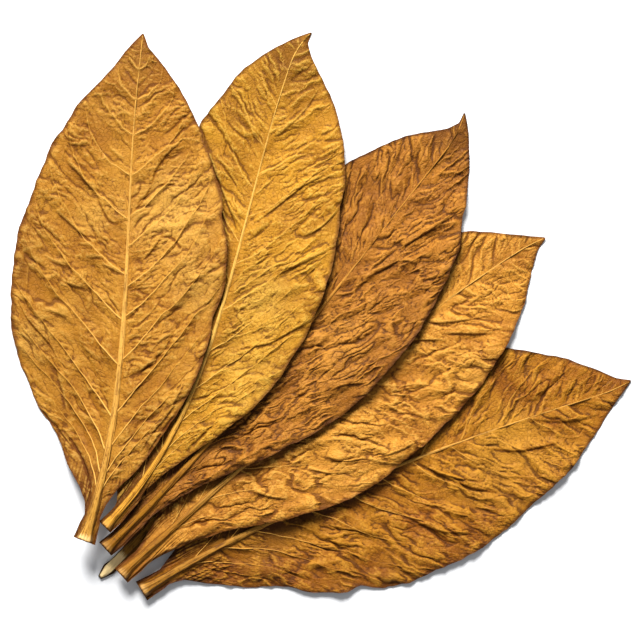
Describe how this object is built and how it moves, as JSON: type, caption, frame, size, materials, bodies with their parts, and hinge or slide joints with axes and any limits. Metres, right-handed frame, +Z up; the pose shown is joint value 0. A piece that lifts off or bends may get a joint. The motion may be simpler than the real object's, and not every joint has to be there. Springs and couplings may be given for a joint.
{
  "type": "fan of cured tobacco leaves",
  "caption": "Cut, air-dried broad leaves with thick midribs, laid over one another in an open fan on a flat surface.",
  "frame": {"origin": "on the surface that the leaves lie on, under the middle of the fan's outline", "axes": "+Z up, away from that surface; the stalks are gathered towards -X and -Y, and the leaves spread towards +X and +Y"},
  "size_m": [0.5857, 0.5363, 0.0392],
  "materials": {
    "leaf_1": "matt, golden tan with brown mottling",
    "leaf_2": "matt, yellow gold with brown mottling",
    "leaf_3": "matt, dark brown",
    "leaf_4": "matt, golden brown",
    "leaf_5": "matt, orange brown with darker margins",
    "leaf_6": "matt, brown",
    "rib_1": "matt, pale straw",
    "rib_2": "matt, pale gold",
    "rib_3": "matt, brown gold",
    "rib_4": "matt, brown gold",
    "rib_5": "matt, brown gold",
    "rib_6": "matt, pale straw"
  },
  "bodies": {
    "root": {"leaf_1_blade": "leaf_1", "leaf_1_rib": "rib_1", "leaf_2_blade": "leaf_2", "leaf_2_rib": "rib_2", "leaf_3_blade": "leaf_3", "leaf_3_rib": "rib_3", "leaf_4_blade": "leaf_4", "leaf_4_rib": "rib_4", "leaf_5_blade": "leaf_5", "leaf_5_rib": "rib_5", "leaf_6_blade": "leaf_6", "leaf_6_rib": "rib_6"}
  },
  "joints": []
}
